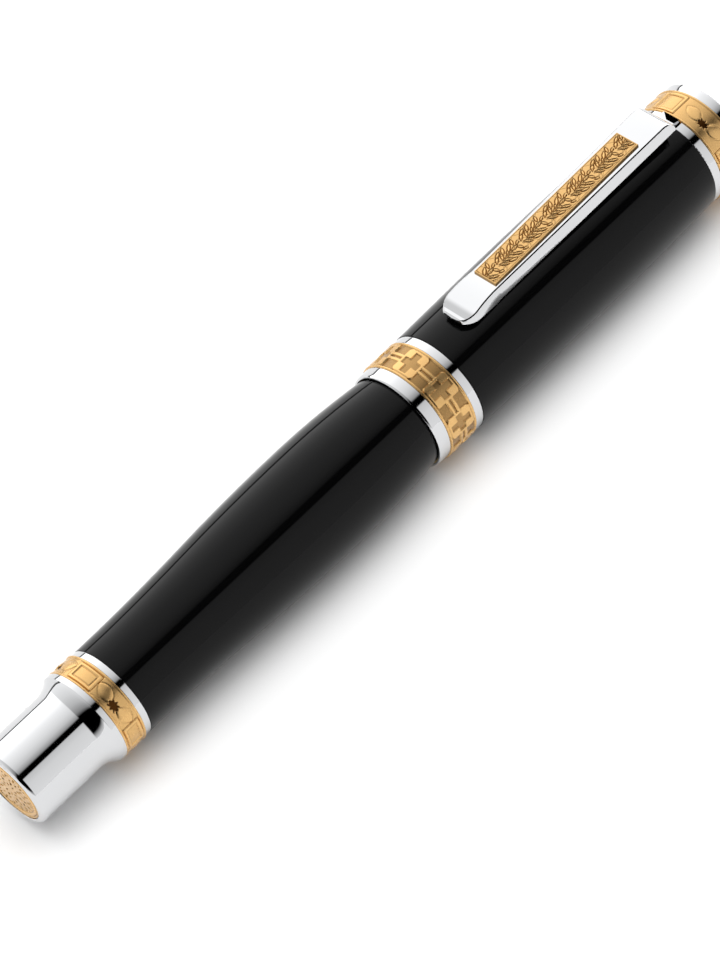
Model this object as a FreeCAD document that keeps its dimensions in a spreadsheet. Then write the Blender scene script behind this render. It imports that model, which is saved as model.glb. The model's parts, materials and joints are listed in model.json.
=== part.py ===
import FreeCAD, Part
import math
import os
import re

import Sketcher

# A capped rollerball pen lying on its side. The pen's axis is +X, from the tail of the barrel to the top of
# the cap, the clip is on +Z, and the origin is the centre of the tail's end face. Millimetres throughout.

SIZES = {
    # stations along the axis, from the tail
    "recess_depth": 0.5, "stud_back": 6.0, "spring_seat": 7.5, "flare_start": 10.6,
    "flange_back": 13.05, "band_back": 14.05, "ring_back": 17.5, "shell_back": 18.6, "stud_front": 24.0,
    "liner_step": 24.5, "bulge_foot": 38.15, "bulge_peak": 57.7, "thread_back": 68.0, "shell_front": 77.0,
    "refill_back": 15.4, "plug_front": 19.4, "holder_back": 94.0, "holder_face": 98.0,
    "shoulder_back": 110.0, "shoulder_front": 111.5, "socket_back": 114.0, "holder_front": 118.0,
    "cone_back": 122.5, "ball_place": 125.3,
    "seal_back": 77.02, "seal_front": 77.58, "trim_back": 77.6, "grip_back": 79.2, "bush_front": 92.0,
    "bush_back": 69.5, "groove_back": 81.0, "groove_front": 82.4, "taper_back": 83.4, "waist": 110.5,
    "spigot_back": 106.0, "nose_back": 114.0, "nose_front": 122.8,
    "mouth": 72.9, "mouth_shoulder": 73.4, "cross_back": 74.9, "cross_front": 79.85, "cap_back": 81.3,
    "cap_peak": 109.5, "cap_front": 129.7, "ring_front": 131.2, "crown_back": 135.6, "crown_edge": 137.1,
    "crown_front": 137.8, "inner_back": 80.5, "inner_throat": 100.0, "inner_neck": 105.0,
    "inner_end": 127.2, "screw_face": 128.4, "screw_front": 133.5, "screw_hole": 134.2, "crown_dome": 0.3,
    # radii
    "tail_radius": 6.04, "tail_edge": 0.7, "medallion_radius": 5.05, "recess_radius": 5.15,
    "boss_radius": 1.3, "ornament_inner": 3.7, "ornament_outer": 4.2, "flare_radius": 6.98,
    "flange_radius": 7.12, "stud_radius": 4.2, "stud_crest": 4.4, "stud_bore": 4.45, "spring_bore": 3.4,
    "band_bore": 4.6, "end_field": 6.92, "end_crest": 7.16, "end_ring_radius": 6.98, "shell_foot": 7.0,
    "shell_knee": 7.61, "shell_peak": 8.22, "shell_mouth": 6.77, "liner_radius": 6.2, "liner_bore": 5.3,
    "bush_core": 4.75, "bush_crest": 5.0, "bush_bore": 5.06, "spigot_radius": 4.15, "refill_way": 3.2,
    "seal_radius": 6.2, "seal_hole": 5.1, "trim_radius": 6.45, "grip_shoulder": 6.1, "groove_radius": 5.6,
    "waist_radius": 4.75, "nose_radius": 5.0, "nose_tip": 1.75, "nose_spigot": 4.1, "nose_bore": 3.15,
    "holder_way": 2.05, "socket_way": 1.35,
    "refill_radius": 3.05, "refill_hole": 2.7, "wick_radius": 2.55, "holder_radius": 1.9,
    "socket_shank": 1.15, "socket_radius": 1.2, "socket_lip": 0.55, "ink_hole": 0.2, "ball_radius": 0.35,
    "seat_radius": 0.38, "lip_reach": 0.15,
    "clutch_inner": 5.65, "clutch_outer": 6.38, "clutch_slack": 0.1,
    "mouth_bore": 7.45, "mouth_edge": 7.72, "mouth_round": 7.86, "lip_radius": 7.9, "cap_bore": 7.6,
    "cap_liner_bore": 7.2, "cross_field": 7.86, "cross_crest": 8.1, "band_ring_radius": 8.0,
    "cap_foot": 8.07, "cap_belly": 8.43, "cap_top": 7.98, "inner_bore": 6.45, "inner_groove": 6.6,
    "inner_narrow": 5.6, "top_bore": 5.0, "top_field": 7.92, "top_crest": 8.12, "crown_radius": 7.95,
    "crown_shoulder": 7.2, "crown_spigot": 4.95, "screw_radius": 1.95, "screw_bore": 2.0,
    "screw_head": 3.05, "screw_recess": 3.1,
    # small details
    "rim_width": 0.42, "edge_round": 0.15, "thread_pitch": 1.25, "stud_pitch": 1.0, "thread_height": 0.25,
    "spring_radius": 2.6, "wire_radius": 0.25, "spring_pitch": 1.2,
    # clip
    "clip_back": 85.6, "clip_nose": 86.3, "clip_widest": 88.1, "clip_neck": 93.0, "clip_bend": 126.4,
    "clip_front": 128.6, "clip_low": 10.48, "clip_slope": 0.0335, "nose_top": 9.5, "nose_middle": 9.15,
    "nose_under": 8.8, "under_back": 91.5, "under_low": 8.25, "under_high": 9.65, "clip_heel": 9.95,
    "bend_radius": 2.3, "nose_bow": 14, "clip_half": 2.5, "clip_flare": 2.75, "clip_root": 2.85,
    "tip_corner": 2.6, "tip_half": 1.5, "tip_crown": 0.25, "clip_gap": 0.12,
    "lug_thick": 0.9, "lug_half": 1.4, "lug_low": 4.4, "tongue_low": 8.3, "tongue_top": 9.0,
    "heel_inset": 0.3,
    "pin_place": 130.5, "pin_height": 6.0, "pin_radius": 0.32, "pin_hole": 0.34, "lug_hole": 0.37,
    "pin_half": 4.0, "notch_half": 1.6, "notch_low": 3.4,
    "leaf_low": 3.6, "leaf_tall": 3.8, "leaf_thick": 0.12, "leaf_bow": 20, "leaf_half": 1.3,
    "plaque_back": 92.7, "plaque_front": 122.1, "plaque_half": 1.93, "plaque_sink": 0.25,
    "plaque_rise": 0.32, "plaque_edge": 0.15,
    # counts
    "frame_count": 4, "plate_count": 9, "sprig_count": 6,
}

doc = FreeCAD.newDocument("rollerball_pen")
sheet = doc.addObject("Spreadsheet::Sheet", "Size")
for row, (alias, size) in enumerate(SIZES.items(), start=1):
    sheet.set("A%d" % row, alias)
    sheet.set("B%d" % row, str(size))
    sheet.setAlias("B%d" % row, alias)
doc.recompute()

WORD = re.compile(r"[a-z_]+")
ON_AXIS = 1e-9
NEAR = 1e-4


def linked(formula):
    """The formula with each size's name made a reference to the spreadsheet."""
    return WORD.sub(lambda word: "Size." + word.group(), formula)


def value(formula):
    """What a formula of size names comes to, in millimetres."""
    return float(sheet.evalExpression(formula))


def bind(piece, **formulas):
    for name, formula in formulas.items():
        piece.setExpression(name, linked(formula))


def origin_plane(body, role):
    return next(plane for plane in body.Origin.OriginFeatures if plane.Role == role)


def new_sketch(body, name, role="XZ_Plane"):
    sketch = body.newObject("Sketcher::SketchObject", name)
    sketch.AttachmentSupport = [(origin_plane(body, role), "")]
    sketch.MapMode = "FlatFace"
    return sketch


def arc_between(start, end, radius):
    """A circular arc with the given radius: positive bulges to the left of start-to-end, negative right."""
    chord = end - start
    half = chord.Length / 2
    sagitta = abs(radius) - math.sqrt(radius * radius - half * half)
    left = FreeCAD.Vector(-chord.y, chord.x, 0).normalize()
    middle = (start + end) / 2 + left * math.copysign(sagitta, radius)
    return Part.Arc(start, middle, end)


def pin_point(sketch, geometry, end, x_formula, y_formula):
    """Ties one end of a sketch line to a place that is worked out from the spreadsheet."""
    for kind, axis, formula in (("DistanceX", -2, x_formula), ("DistanceY", -1, y_formula)):
        place = value(formula)
        if abs(place) < ON_AXIS:
            sketch.addConstraint(Sketcher.Constraint("PointOnObject", geometry, end, axis))
            continue
        index = sketch.addConstraint(Sketcher.Constraint(kind, -1, 1, geometry, end, place))
        sketch.setExpression("Constraints[%d]" % index, linked(formula))


def draw(sketch, outline):
    """Draws a closed outline of (x, y) formulas. A third formula bends the line that leaves the point."""
    points = [FreeCAD.Vector(value(corner[0]), value(corner[1]), 0) for corner in outline]
    ends = []
    for index, corner in enumerate(outline):
        start, stop = points[index], points[(index + 1) % len(points)]
        if len(corner) > 2:
            bend = value(corner[2])
            geometry = sketch.addGeometry(arc_between(start, stop, bend))
            index = sketch.addConstraint(Sketcher.Constraint("Radius", geometry, abs(bend)))
            sketch.setExpression("Constraints[%d]" % index, "abs(%s)" % linked(corner[2]))
        else:
            geometry = sketch.addGeometry(Part.LineSegment(start, stop))
        forward = sketch.getPoint(geometry, 1).distanceToPoint(start) < NEAR
        ends.append((geometry, 1 if forward else 2, 2 if forward else 1))
    for index, (geometry, start_end, _) in enumerate(ends):
        before, _, before_end = ends[index - 1]
        sketch.addConstraint(Sketcher.Constraint("Coincident", before, before_end, geometry, start_end))
        pin_point(sketch, geometry, start_end, *outline[index][:2])


def turned(label, outline):
    """A piece turned about the pen's axis, from its half section."""
    body = doc.addObject("PartDesign::Body", label)
    sketch = new_sketch(body, label + "_section")
    draw(sketch, outline)
    turn = body.newObject("PartDesign::Revolution", label + "_turn")
    turn.Profile = sketch
    turn.ReferenceAxis = (sketch, ["H_Axis"])
    turn.Angle = 360
    sketch.Visibility = False
    doc.recompute()
    return body


def tube(label, back, front, outer, bore):
    return turned(label, [(back, bore), (back, outer), (front, outer), (front, bore)])


def soften(body, rings, size):
    """Rounds the circular edges at the given (station, radius) pairs."""
    wanted = [(value(station), value(radius)) for station, radius in rings]
    base = body.Tip
    names = []
    for index, edge in enumerate(base.Shape.Edges, start=1):
        if edge.Degenerated or not isinstance(edge.Curve, Part.Circle):
            continue
        found = (edge.Curve.Center.x, edge.Curve.Radius)
        if any(math.dist(found, ring) < NEAR for ring in wanted):
            names.append("Edge%d" % index)
    fillet = body.newObject("PartDesign::Fillet", body.Label + "_round")
    fillet.Base = (base, names)
    bind(fillet, Radius=size)
    doc.recompute()


def wind(body, sketch, pitch, reach):
    """Winds a section about the pen's axis as a helix."""
    helix = body.newObject("PartDesign::AdditiveHelix", body.Label + "_helix")
    helix.Profile = sketch
    helix.ReferenceAxis = (sketch, ["H_Axis"])
    helix.Mode = "pitch-height-angle"
    bind(helix, Pitch=pitch, Height=reach)
    sketch.Visibility = False
    doc.recompute()


def thread(body, back, front, core, pitch, height):
    """Adds a V thread that winds about the pen's axis from one station to another."""
    sketch = new_sketch(body, body.Label + "_tooth")
    root = "%s - 0.1" % core
    foot = "%s * 0.4" % pitch
    draw(sketch, [(back, root), ("%s + %s / 2" % (back, foot), "%s + %s" % (core, height)),
                  ("%s + %s" % (back, foot), root)])
    wind(body, sketch, pitch, "%s - %s - %s" % (front, back, pitch))


def block(name, low, high):
    """A box between two corners of formulas."""
    piece = doc.addObject("Part::Box", name)
    for side, start, stop in zip(("Length", "Width", "Height"), low, high):
        bind(piece, **{side: "(%s) - (%s)" % (stop, start)})
    for axis, start in zip("xyz", low):
        piece.setExpression("Placement.Base." + axis, linked(start))
    return piece


def rod(name, radius, length, axis, base):
    """A cylinder along a row axis, from a base point of formulas."""
    piece = doc.addObject("Part::Cylinder", name)
    bind(piece, Radius=radius, Height=length)
    piece.Placement.Rotation = FreeCAD.Rotation(FreeCAD.Vector(0, 0, 1), axis)
    for letter, start in zip("xyz", base):
        piece.setExpression("Placement.Base." + letter, linked(start))
    return piece


def about_axis(piece, angle):
    """Turns a piece about the pen's axis by an angle in degrees."""
    turn = FreeCAD.Placement(FreeCAD.Vector(), FreeCAD.Rotation(FreeCAD.Vector(1, 0, 0), angle))
    piece.Placement = turn.multiply(piece.Placement)


def joined(label, *pieces):
    whole = doc.addObject("Part::MultiFuse", label)
    whole.Shapes = list(pieces)
    return whole


def shared(label, *pieces):
    whole = doc.addObject("Part::MultiCommon", label)
    whole.Shapes = list(pieces)
    return whole


def cut(label, base, tool):
    rest = doc.addObject("Part::Cut", label)
    rest.Base = base
    rest.Tool = tool
    return rest


# ---- barrel ----

def level_arc(back, front, low, high):
    """The radius of an arc that rises from one radius to another and is level at one end."""
    rise = "(%s - %s)" % (high, low)
    return "((%s - %s)^2 + %s^2) / (2 * %s)" % (front, back, rise, rise)


end_cap = turned("end_cap", [
    ("recess_depth", "0"), ("recess_depth", "recess_radius"), ("0", "recess_radius"), ("0", "tail_radius"),
    ("flare_start", "tail_radius",
     "-" + level_arc("flare_start", "flange_back", "tail_radius", "flare_radius")),
    ("flange_back", "flare_radius"), ("flange_back + flange_radius - flare_radius", "flange_radius"),
    ("band_back", "flange_radius"), ("band_back", "stud_bore"),
    ("stud_back", "stud_bore"), ("stud_back", "0")])
soften(end_cap, [("0", "tail_radius")], "tail_edge")

turned("end_medallion", [
    ("0", "0"), ("0", "boss_radius"), ("recess_depth * 0.5", "boss_radius * 1.2"),
    ("recess_depth * 0.5", "ornament_inner"), ("recess_depth * 0.2", "ornament_inner + 0.1"),
    ("recess_depth * 0.2", "ornament_outer"), ("recess_depth * 0.5", "ornament_outer + 0.1"),
    ("recess_depth * 0.5", "medallion_radius - 0.3"), ("recess_depth * 0.2", "medallion_radius - 0.2"),
    ("recess_depth * 0.2", "medallion_radius"), ("recess_depth", "medallion_radius"),
    ("recess_depth", "0")])


def banded(label, back, front, bore, field, crest):
    """A band with a raised rim along each edge, for the ornament to sit between."""
    return turned(label, [
        (back, bore), (back, crest), ("%s + rim_width" % back, crest), ("%s + rim_width" % back, field),
        ("%s - rim_width" % front, field), ("%s - rim_width" % front, crest), (front, crest),
        (front, bore)])


def wrapped(label, band, crest, bore, pieces):
    """A band with pieces of ornament that stand on it, cut back to the height of its rims."""
    skin = shared(label + "_relief", joined(label + "_blocks", *pieces),
                  tube(label + "_skin", "0", "crown_front", crest, bore))
    joined(label, band, skin)


def frames_and_leaves(label, back, front, field, crest):
    """Framed rectangles that alternate round the band with two ovals that meet in a pinch."""
    pieces = []
    low = "%s + rim_width + 0.35" % back
    high = "%s - rim_width - 0.35" % front
    for turn in range(int(SIZES["frame_count"])):
        angle = 360 * turn / SIZES["frame_count"]
        name = "%s_frame_%d" % (label, turn)
        plate = block(name + "_plate", (low, "-%s * 0.28" % field, "%s - 1" % field),
                      (high, "%s * 0.28" % field, "%s + 1" % crest))
        hollow = block(name + "_hollow", ("%s + 0.4" % low, "-%s * 0.22" % field, "%s * 0.5" % field),
                       ("%s - 0.4" % high, "%s * 0.22" % field, "%s + 2" % crest))
        frame = cut(name, plate, hollow)
        about_axis(frame, angle)
        pieces.append(frame)
        for side in (-1, 1):
            oval = doc.addObject("Part::Ellipsoid", "%s_oval_%d_%d" % (label, turn, side + 1))
            bind(oval, Radius1="(%s - %s) * 1.5" % (crest, field),
                 Radius2="((%s) - (%s)) / 2" % (high, low), Radius3="%s * 0.2" % field)
            oval.setExpression("Placement.Base.x", linked("((%s) + (%s)) / 2" % (high, low)))
            oval.setExpression("Placement.Base.z", linked(field))
            doc.recompute()
            about_axis(oval, angle + 45 + 13 * side)
            pieces.append(oval)
    return pieces


end_band = banded("end_band_blank", "band_back", "ring_back", "band_bore", "end_field", "end_crest")
wrapped("end_band", end_band, "end_crest", "band_bore",
        frames_and_leaves("end_band", "band_back", "ring_back", "end_field", "end_crest"))
end_ring = tube("end_ring", "ring_back", "shell_back", "end_ring_radius", "band_bore")
soften(end_ring, [("ring_back", "end_ring_radius"), ("shell_back", "end_ring_radius")], "edge_round")

turned("barrel_shell", [
    ("shell_back", "liner_radius"),
    ("shell_back", "shell_foot",
     "-" + level_arc("shell_back", "bulge_foot", "shell_foot", "shell_knee")),
    ("bulge_foot", "shell_knee", level_arc("bulge_foot", "bulge_peak", "shell_knee", "shell_peak")),
    ("bulge_peak", "shell_peak", level_arc("bulge_peak", "shell_front", "shell_mouth", "shell_peak")),
    ("shell_front", "shell_mouth"), ("shell_front", "liner_radius")])
turned("barrel_liner", [
    ("shell_back", "stud_bore"), ("shell_back", "liner_radius"), ("shell_front", "liner_radius"),
    ("shell_front", "bush_bore"), ("thread_back", "bush_bore"), ("thread_back", "liner_bore"),
    ("liner_step", "liner_bore"), ("liner_step", "stud_bore")])
tail_stud = turned("tail_stud", [
    ("stud_back", "0"), ("stud_back", "stud_radius"), ("stud_front", "stud_radius"),
    ("stud_front", "spring_bore"), ("spring_seat", "spring_bore"), ("spring_seat", "0")])
thread(tail_stud, "stud_back + 1", "stud_front - 0.5", "stud_radius", "stud_pitch",
       "stud_crest - stud_radius")

refill_spring = doc.addObject("PartDesign::Body", "refill_spring")
wire = new_sketch(refill_spring, "refill_spring_wire")
wire_centre = FreeCAD.Vector(value("spring_seat"), value("spring_radius"), 0)
wire.addGeometry(Part.Circle(wire_centre, FreeCAD.Vector(0, 0, 1), value("wire_radius")))
thickness = wire.addConstraint(Sketcher.Constraint("Radius", 0, value("wire_radius")))
wire.setExpression("Constraints[%d]" % thickness, linked("wire_radius"))
pin_point(wire, 0, 3, "spring_seat + 1.2 * wire_radius", "spring_radius")
wind(refill_spring, wire, "spring_pitch", "refill_back - spring_seat - 2.4 * wire_radius")

# ---- section ----

section_seal = tube("section_seal", "seal_back", "seal_front", "seal_radius", "seal_hole")
soften(section_seal, [("seal_back", "seal_radius"), ("seal_front", "seal_radius")], "edge_round")
thread_bush = turned("thread_bush", [
    ("bush_back", "refill_way"), ("bush_back", "bush_core"), ("trim_back", "bush_core"),
    ("trim_back", "spigot_radius"), ("bush_front", "spigot_radius"), ("bush_front", "refill_way")])
thread(thread_bush, "bush_back + 0.2", "seal_back - 0.2", "bush_core", "thread_pitch",
       "bush_crest - bush_core")
section_ring = tube("section_ring", "trim_back", "grip_back", "trim_radius", "spigot_radius")
soften(section_ring, [("trim_back", "trim_radius"), ("grip_back", "trim_radius")], "edge_round * 2")
turned("grip_section", [
    ("grip_back", "spigot_radius"), ("grip_back", "grip_shoulder"), ("groove_back", "grip_shoulder"),
    ("groove_back", "groove_radius"), ("groove_front", "groove_radius"),
    ("groove_front", "grip_shoulder - 0.1"), ("taper_back", "grip_shoulder - 0.1", "-900"),
    ("waist", "waist_radius", "-16"), ("nose_back", "nose_radius"), ("nose_back", "nose_spigot"),
    ("spigot_back", "nose_spigot"), ("spigot_back", "refill_way"), ("bush_front", "refill_way"),
    ("bush_front", "spigot_radius")])
nose_cone = turned("nose_cone", [
    ("spigot_back", "nose_bore"), ("spigot_back", "nose_spigot"), ("nose_back", "nose_spigot"),
    ("nose_back", "nose_radius", "22"), ("nose_front", "nose_tip"), ("nose_front", "socket_way"),
    ("cone_back - 2", "socket_way"), ("cone_back - 3", "holder_way"),
    ("shoulder_front + 0.15", "holder_way"), ("shoulder_back + 0.15", "nose_bore")])
soften(nose_cone, [("nose_front", "nose_tip")], "edge_round")

clutch_ring = tube("clutch_ring_hoop", "groove_back + clutch_slack", "groove_front - clutch_slack",
                   "clutch_outer", "clutch_inner")
soften(clutch_ring, [("groove_back + clutch_slack", "clutch_outer"),
                     ("groove_front - clutch_slack", "clutch_outer")], "edge_round * 2")
gap = block("clutch_ring_gap", ("groove_back", "-clutch_slack * 6", "-clutch_outer - 1"),
            ("groove_front", "clutch_slack * 6", "-groove_radius * 0.5"))
cut("clutch_ring", clutch_ring, gap)

# ---- refill ----

turned("refill_plug", [
    ("refill_back", "0"), ("refill_back", "refill_radius"), ("refill_back + 0.8", "refill_radius"),
    ("refill_back + 0.8", "refill_hole"), ("plug_front", "refill_hole"), ("plug_front", "0")])
tube("refill_tube", "refill_back + 0.8", "holder_face", "refill_radius", "refill_hole")
turned("ink_wick", [("plug_front + 0.5", "0"), ("plug_front + 0.5", "wick_radius"),
                    ("holder_back - 0.5", "wick_radius"), ("holder_back - 0.5", "0")])
turned("tip_holder", [
    ("holder_back", "ink_hole"), ("holder_back", "refill_hole - 0.02"),
    ("holder_face", "refill_hole - 0.02"), ("holder_face", "refill_radius"),
    ("shoulder_back", "refill_radius"),
    ("shoulder_front", "holder_radius"), ("holder_front", "holder_radius"),
    ("holder_front", "socket_shank"), ("socket_back", "socket_shank"), ("socket_back", "ink_hole")])
seat_depth = "(seat_radius^2 - ink_hole^2)^0.5"
lip_hole = "(seat_radius^2 - lip_reach^2)^0.5"
turned("ball_socket", [
    ("socket_back", "ink_hole"), ("socket_back", "socket_shank"), ("holder_front", "socket_shank"),
    ("holder_front", "socket_radius"), ("cone_back", "socket_radius"),
    ("ball_place + lip_reach", "socket_lip"), ("ball_place + lip_reach", lip_hole, "-seat_radius"),
    ("ball_place - " + seat_depth, "ink_hole")])
ball = doc.addObject("Part::Sphere", "writing_ball")
bind(ball, Radius="ball_radius")
ball.setExpression("Placement.Base.x", linked("ball_place"))

# ---- cap ----

turned("lip_ring", [
    ("mouth", "mouth_bore"), ("mouth", "mouth_edge", "1.1"), ("mouth_shoulder", "mouth_round"),
    ("cross_back", "lip_radius"), ("cross_back", "mouth_bore")])


def plates_and_links(label, back, front, field, crest):
    """Square plates sunk with a plus-shaped cross, joined round the band by pairs of bars."""
    pieces = []
    low = "%s + rim_width + 0.15" % back
    high = "%s - rim_width - 0.15" % front
    middle = "((%s) + (%s)) / 2" % (low, high)
    plate_half = "%s * 0.218" % field
    step = 360 / SIZES["plate_count"]
    for turn in range(int(SIZES["plate_count"])):
        name = "%s_plate_%d" % (label, turn)
        plate = block(name + "_square", (low, "-" + plate_half, "%s - 1" % field),
                      (high, plate_half, "%s + 1" % crest))
        long_arm = block(name + "_long_arm", ("%s + 0.55" % low, "-0.38", field),
                         ("%s - 0.55" % high, "0.38", "%s + 2" % crest))
        wide_arm = block(name + "_wide_arm", (middle + " - 0.38", "-%s + 0.5" % plate_half, field),
                         (middle + " + 0.38", "%s - 0.5" % plate_half, "%s + 2" % crest))
        crossed = cut(name, plate, joined(name + "_cross", long_arm, wide_arm))
        about_axis(crossed, step * turn)
        pieces.append(crossed)
        for side in (-1, 1):
            centre = "%s + %d * 0.5" % (middle, side)
            bar = block("%s_link_%d_%d" % (label, turn, side + 1),
                        (centre + " - 0.24", "-%s * 0.14" % field, "%s - 1" % field),
                        (centre + " + 0.24", "%s * 0.14" % field, "%s + 1" % crest))
            doc.recompute()
            about_axis(bar, step * (turn + 0.5))
            pieces.append(bar)
    return pieces


cross_band = banded("cross_band_blank", "cross_back", "cross_front", "cap_bore", "cross_field",
                    "cross_crest")
wrapped("cross_band", cross_band, "cross_crest", "cap_bore",
        plates_and_links("cross_band", "cross_back", "cross_front", "cross_field", "cross_crest"))
band_ring = tube("band_ring", "cross_front", "cap_back", "band_ring_radius", "cap_bore")
soften(band_ring, [("cross_front", "band_ring_radius"), ("cap_back", "band_ring_radius")], "edge_round")
turned("cap_shell", [
    ("cap_back", "cap_bore"),
    ("cap_back", "cap_foot", level_arc("cap_back", "cap_peak", "cap_foot", "cap_belly")),
    ("cap_peak", "cap_belly", level_arc("cap_peak", "cap_front", "cap_top", "cap_belly")),
    ("cap_front", "cap_top"), ("cap_front", "cap_bore")])
tube("cap_liner", "cross_back", "cap_front", "cap_bore", "cap_liner_bore")
turned("inner_cap", [
    ("inner_back", "inner_bore + 0.4"), ("inner_back", "cap_liner_bore"), ("cap_front", "cap_liner_bore"),
    ("cap_front", "screw_bore"), ("screw_face", "screw_bore"), ("screw_face", "screw_recess"),
    ("inner_end", "screw_recess"), ("inner_end", "inner_narrow"), ("inner_neck", "inner_narrow"),
    ("inner_throat", "inner_bore"), ("groove_front + 0.2", "inner_bore"),
    ("groove_front", "inner_groove"), ("groove_back", "inner_groove"),
    ("groove_back - 0.2", "inner_bore")])

ring_disc = tube("top_ring_disc", "cap_front", "ring_front", "cap_top", "screw_bore")
soften(ring_disc, [("cap_front", "cap_top"), ("ring_front", "cap_top")], "edge_round")
notch = block("top_ring_notch", ("cap_front - 1", "-notch_half", "notch_low"),
              ("ring_front + 1", "notch_half", "cap_top + 1"))
pin_way = rod("top_ring_pin_way", "pin_hole", "pin_half * 2", FreeCAD.Vector(0, 1, 0),
              ("pin_place", "-pin_half", "pin_height"))
cut("top_ring", ring_disc, joined("top_ring_openings", notch, pin_way))
top_band = banded("top_band_blank", "ring_front", "crown_back", "top_bore", "top_field", "top_crest")
wrapped("top_band", top_band, "top_crest", "top_bore",
        frames_and_leaves("top_band", "ring_front", "crown_back", "top_field", "top_crest"))
cap_crown = turned("cap_crown", [
    ("ring_front", "screw_bore"), ("ring_front", "crown_spigot"), ("crown_back", "crown_spigot"),
    ("crown_back", "crown_radius"), ("crown_edge", "crown_radius", "0.9"),
    ("crown_front - crown_dome", "crown_shoulder", "(crown_shoulder^2 + crown_dome^2) / (2 * crown_dome)"),
    ("crown_front", "0"), ("screw_hole", "0"),
    ("screw_hole", "screw_bore")])
soften(cap_crown, [("crown_back", "crown_radius")], "edge_round")
crown_screw = turned("crown_screw", [
    ("inner_end + 0.1", "0"), ("inner_end + 0.1", "screw_head"), ("screw_face", "screw_head"),
    ("screw_face", "screw_radius - thread_height"), ("screw_front", "screw_radius - thread_height"),
    ("screw_front", "0")])
thread(crown_screw, "ring_front", "screw_front - 0.1", "screw_radius - thread_height", "0.7",
       "thread_height")
rod("clip_pin", "pin_radius", "pin_half * 2", FreeCAD.Vector(0, 1, 0),
    ("pin_place", "-pin_half", "pin_height"))


def solid_between(name, sketch, reach):
    """Stretches a sketch equally to both sides of its plane."""
    piece = doc.addObject("Part::Extrusion", name)
    piece.Base = sketch
    piece.DirMode = "Normal"
    piece.Solid = True
    bind(piece, LengthFwd=reach, LengthRev=reach)
    return piece


def flat_sketch(name, outline, rotation):
    sketch = doc.addObject("Sketcher::SketchObject", name)
    sketch.Placement.Rotation = rotation
    draw(sketch, outline)
    doc.recompute()
    return sketch


SIDE = FreeCAD.Rotation(FreeCAD.Vector(1, 0, 0), 90)
ABOVE = FreeCAD.Rotation()

leaf_back = "cap_front + 0.03"
leaf_front = leaf_back + " + leaf_thick"
leaf_high = "leaf_low + leaf_tall"
leaf = flat_sketch("clip_spring_bow", [
    (leaf_back, "leaf_low", "-leaf_bow"), (leaf_back, leaf_high),
    (leaf_front, leaf_high, "leaf_bow"), (leaf_front, "leaf_low")], SIDE)
solid_between("clip_spring", leaf, "leaf_half")

# ---- clip ----



def over_clip(place, rise):
    """The height of a point above the clip's sloping top, at a station along it."""
    return "clip_low + (%s - clip_neck) * clip_slope + %s" % (place, rise)


def sloped_plate(name, back, front, low, high):
    """A plate along the clip's slope between two rises above its top, in the plaque's width."""
    outline = flat_sketch(name + "_side", [
        (back, over_clip(back, low)), (back, over_clip(back, high)),
        (front, over_clip(front, high)), (front, over_clip(front, low))], SIDE)
    return solid_between(name, outline, "plaque_half")


side = flat_sketch("clip_side", [
    ("clip_nose", "nose_under", "0.6"), ("clip_back", "nose_middle", "0.6"),
    ("clip_nose", "nose_top", "nose_bow"), ("clip_neck", "clip_low"),
    ("clip_bend", over_clip("clip_bend", "0"), "bend_radius"), ("clip_front", "clip_heel"),
    ("clip_front", "under_high"), ("under_back", "under_low")], SIDE)
above = flat_sketch("clip_above", [
    ("clip_front", "-clip_root"), ("clip_front", "clip_root"),
    ("clip_neck", "clip_half"), ("clip_widest", "clip_flare", "-tip_corner"),
    ("clip_back + tip_crown", "tip_half", "-(tip_half^2 + tip_crown^2) / (2 * tip_crown)"),
    ("clip_back + tip_crown", "-tip_half", "-tip_corner"), ("clip_widest", "-clip_flare"),
    ("clip_neck", "-clip_half")], ABOVE)
bar = shared("clip_arm_bar", solid_between("clip_arm_side", side, "clip_root + 1"),
             solid_between("clip_arm_above", above, "clip_low + 3"))
cap_way = rod("clip_arm_cap_way", "cap_belly + clip_gap", "60", FreeCAD.Vector(1, 0, 0),
              ("clip_back - 1", "0", "0"))
seat = sloped_plate("clip_arm_seat", "plaque_back", "plaque_front", "-plaque_sink", "1")
tongue = block("clip_arm_tongue", ("clip_bend", "-lug_half", "tongue_low"),
               ("pin_place + lug_thick / 2", "lug_half", "tongue_top"))
heel = block("clip_arm_heel", ("clip_bend + heel_inset", "-lug_half", "tongue_top - heel_inset"),
             ("clip_front - heel_inset", "lug_half", "clip_heel"))
lug = block("clip_arm_lug", ("pin_place - lug_thick / 2", "-lug_half", "lug_low"),
            ("pin_place + lug_thick / 2", "lug_half", "tongue_top"))
lug_eye = rod("clip_arm_eye", "lug_hole", "pin_half * 2", FreeCAD.Vector(0, 1, 0),
              ("pin_place", "-pin_half", "pin_height"))
shaped = cut("clip_arm_shaped", bar, joined("clip_arm_ways", cap_way, seat))
cut("clip_arm", joined("clip_arm_lugged", shaped, heel, tongue, lug), lug_eye)

plaque = sloped_plate("clip_plaque_plate", "plaque_back", "plaque_front", "-plaque_sink", "plaque_rise")
leaves = []
for sprig in range(int(SIZES["sprig_count"])):
    for index, lean in enumerate((-50, 0, 50)):
        blade = doc.addObject("Part::Ellipsoid", "clip_plaque_leaf_%d_%d" % (sprig, index))
        bind(blade, Radius1="plaque_edge", Radius2="plaque_half * 0.6", Radius3="plaque_edge * 2")
        blade.Placement.Rotation = FreeCAD.Rotation(FreeCAD.Vector(0, 0, 1), lean)
        pitch = "(plaque_front - plaque_back) / sprig_count"
        place = "(plaque_back + %s * %s)" % (pitch, sprig + 0.5)
        blade.setExpression("Placement.Base.x", linked(place))
        blade.setExpression("Placement.Base.y", linked("plaque_half * %s" % (0.3 * (index - 1))))
        blade.setExpression("Placement.Base.z", linked(over_clip(place, "plaque_rise")))
        leaves.append(blade)
joined("clip_plaque", plaque, *leaves)

# ---- checks and files ----

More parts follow.
